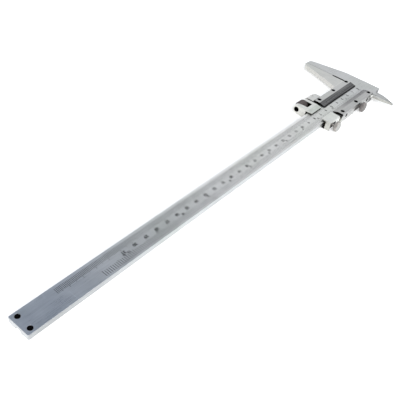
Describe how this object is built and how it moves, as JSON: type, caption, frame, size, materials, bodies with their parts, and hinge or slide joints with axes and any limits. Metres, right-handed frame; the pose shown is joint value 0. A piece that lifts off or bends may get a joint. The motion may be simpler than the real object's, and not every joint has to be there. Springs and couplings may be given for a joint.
{
  "type": "vernier caliper",
  "caption": "Long metal vernier caliper with outside jaws, short knife-edge jaws, fine-adjustment carriage and thumb screws, lying closed on its back.",
  "frame": {"origin": "centre of the whole instrument's box, on the plane that the slider's back rests on", "axes": "+X along the beam from the fixed jaw to the free end, +Y towards the short knife jaws and the thumb screws, +Z out of the scale face"},
  "size_m": [0.4064, 0.0954, 0.0096],
  "materials": {
    "beam_steel": "fine lengthwise grind with a satin chrome face",
    "slider_steel": "bright ground steel",
    "blacked_screws": "black oxide",
    "browned_knurls": "knurled, browned steel",
    "gib_bronze": "rolled phosphor bronze"
  },
  "bodies": {
    "beam": {"main_beam": "beam_steel", "end_stop_screw_1": "blacked_screws", "end_stop_screw_2": "blacked_screws"},
    "slider": {"slider_frame": "slider_steel", "metric_vernier_plate": "slider_steel", "inch_vernier_plate": "slider_steel", "vernier_screw_1": "blacked_screws", "vernier_screw_2": "blacked_screws", "vernier_screw_3": "blacked_screws", "vernier_screw_4": "blacked_screws", "vernier_screw_5": "blacked_screws", "vernier_screw_6": "blacked_screws", "slider_gib": "gib_bronze", "gib_screw_1": "blacked_screws", "gib_screw_2": "blacked_screws", "fine_adjust_screw": "slider_steel", "screw_retaining_grub": "blacked_screws"},
    "slider_lock": {"slider_lock_screw": "browned_knurls"},
    "carriage": {"carriage_body": "slider_steel", "carriage_gib": "gib_bronze"},
    "carriage_lock": {"carriage_lock_screw": "browned_knurls"},
    "fine_nut": {"fine_adjust_nut": "browned_knurls"}
  },
  "joints": [
    {"name": "slider_travel", "type": "slide", "parent": "beam", "child": "slider", "axis": [1, 0, 0], "range_m": [0, 0.3]},
    {"name": "carriage_feed", "type": "slide", "parent": "slider", "child": "carriage", "axis": [1, 0, 0], "range_m": [-0.0015, 0.003]},
    {"name": "nut_turn", "type": "hinge", "parent": "carriage", "child": "fine_nut", "pos_m": [-0.1152, -0.0085, 0.00485], "axis": [1, 0, 0], "range_deg": [-1080, 2160]},
    {"name": "slider_lock_turn", "type": "hinge", "parent": "slider", "child": "slider_lock", "pos_m": [-0.1612, 0.0112, 0.0046], "axis": [0, 1, 0], "range_deg": [0, 360]},
    {"name": "carriage_lock_turn", "type": "hinge", "parent": "carriage", "child": "carriage_lock", "pos_m": [-0.1122, 0.0112, 0.0046], "axis": [0, 1, 0], "range_deg": [0, 360]}
  ],
  "couplings": [
    {"joint": "nut_turn", "follows": "carriage_feed", "rad_per_m": 12566}
  ]
}
